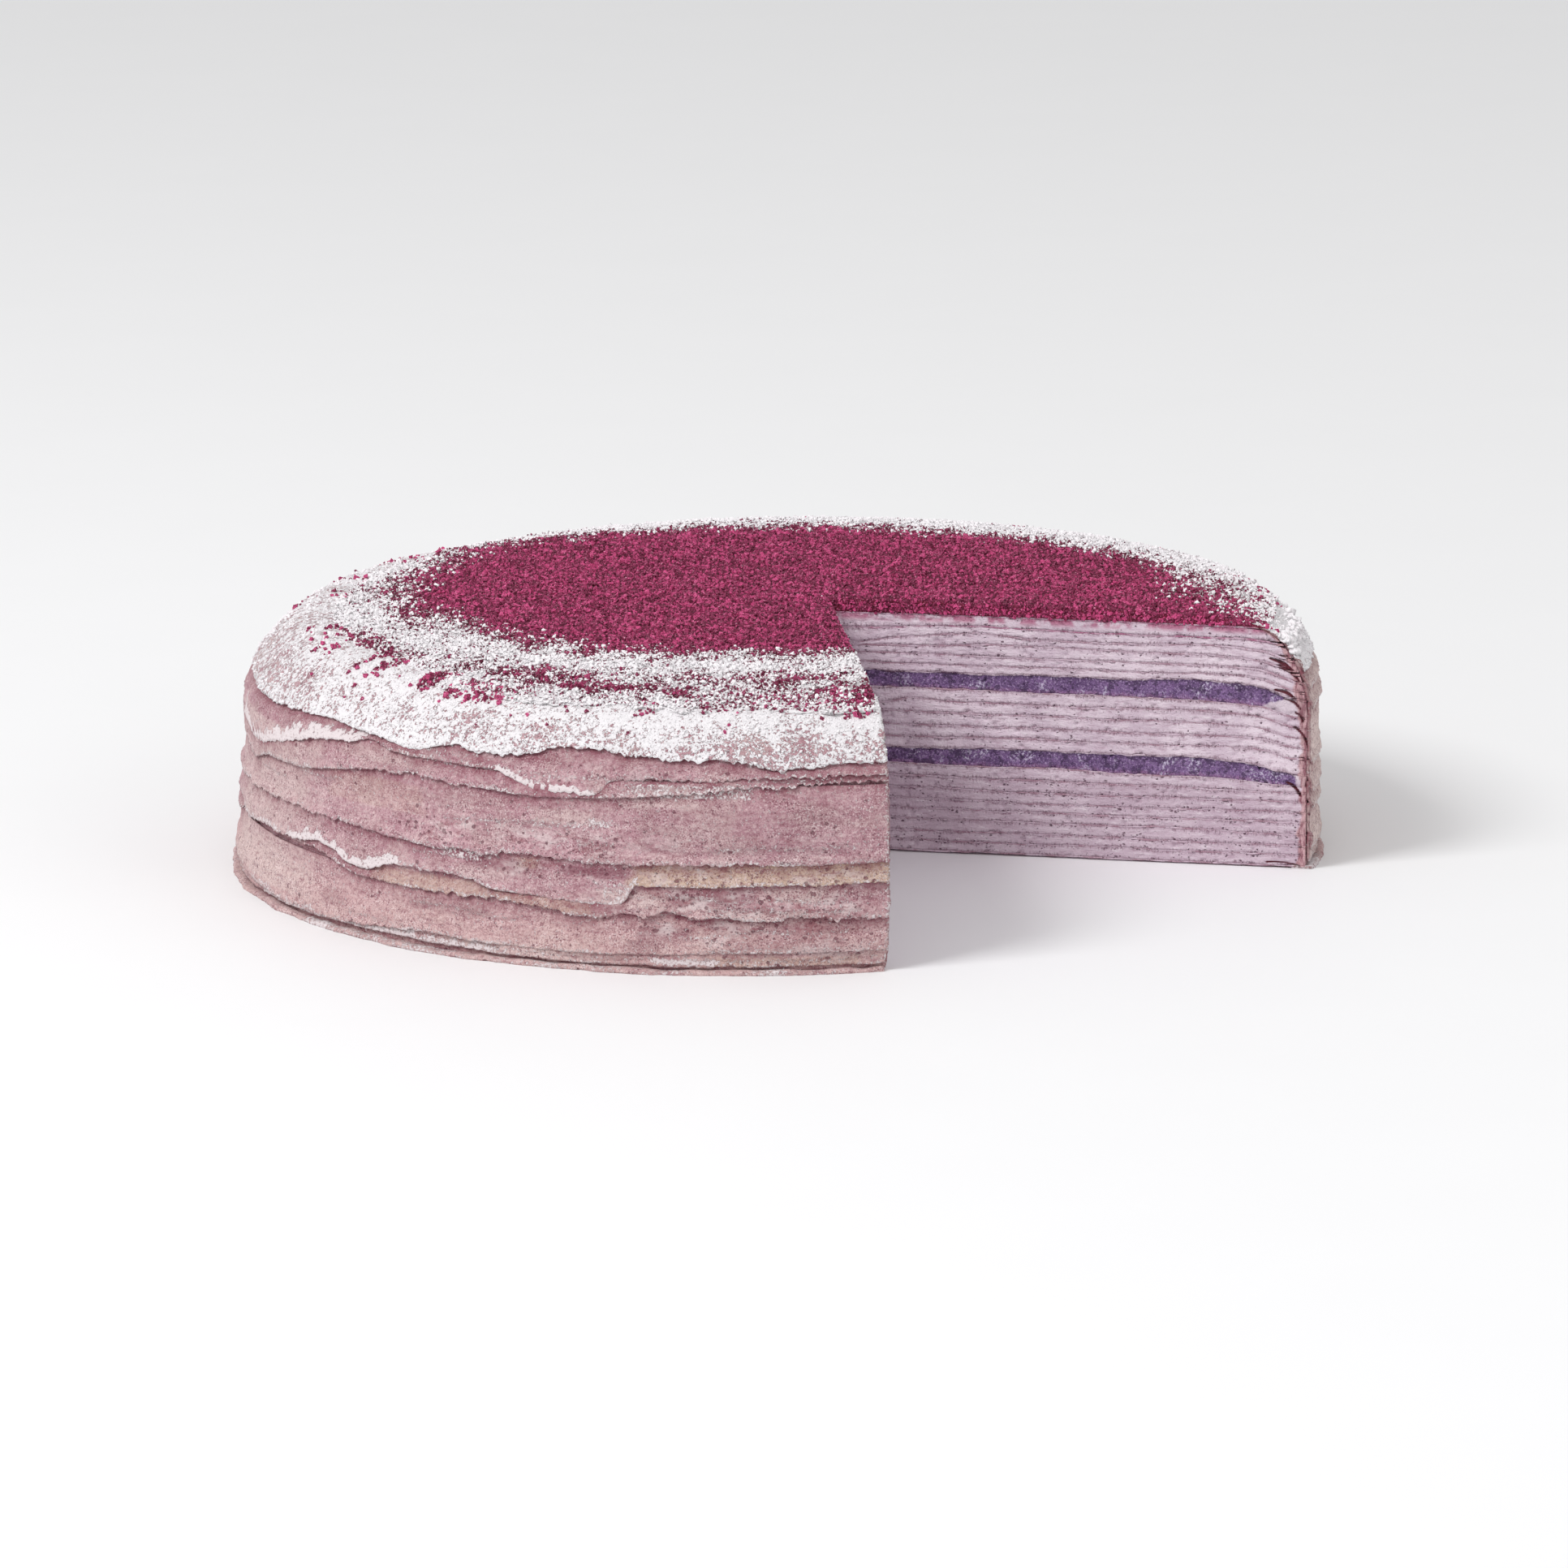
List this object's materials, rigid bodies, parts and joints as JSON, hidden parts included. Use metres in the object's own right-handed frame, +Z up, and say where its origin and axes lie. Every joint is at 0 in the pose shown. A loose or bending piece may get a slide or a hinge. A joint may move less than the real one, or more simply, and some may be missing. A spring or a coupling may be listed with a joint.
{
  "type": "crepe cake",
  "caption": "Round mille crepe cake of thin crepes, pale purple cream and yam paste layers under red-violet crumbs and powdered sugar, with a slice cut out",
  "frame": {"origin": "middle of the underside, on the plate's surface", "axes": "+Z up, the missing slice at the front right between +X and -Y, the front at -Y"},
  "size_m": [0.2324, 0.2286, 0.0542],
  "materials": {
    "crepe": "soft, matt and finely pored, pink brown",
    "cream": "satin, pale grey purple",
    "yam_paste": "moist and grainy, deep purple",
    "crumbs": "matt and crumbly, red violet"
  },
  "bodies": {
    "root": {"crepe_01": "crepe", "crepe_02": "crepe", "crepe_03": "crepe", "crepe_04": "crepe", "crepe_05": "crepe", "crepe_06": "crepe", "crepe_07": "crepe", "crepe_08": "crepe", "crepe_09": "crepe", "crepe_10": "crepe", "crepe_11": "crepe", "crepe_12": "crepe", "crepe_13": "crepe", "crepe_14": "crepe", "crepe_15": "crepe", "crepe_16": "crepe", "crepe_17": "crepe", "crepe_18": "crepe", "crepe_19": "crepe", "crepe_20": "crepe", "crepe_21": "crepe", "crepe_22": "crepe", "cream_01": "cream", "cream_02": "cream", "cream_03": "cream", "cream_04": "cream", "cream_05": "cream", "cream_06": "cream", "cream_07": "cream", "cream_08": "cream", "cream_09": "cream", "cream_10": "cream", "cream_11": "cream", "cream_12": "cream", "cream_13": "cream", "cream_14": "cream", "cream_15": "cream", "cream_16": "cream", "cream_17": "cream", "cream_18": "cream", "cream_19": "cream", "yam_paste_01": "yam_paste", "yam_paste_02": "yam_paste", "crumb_topping": "crumbs"}
  },
  "joints": []
}
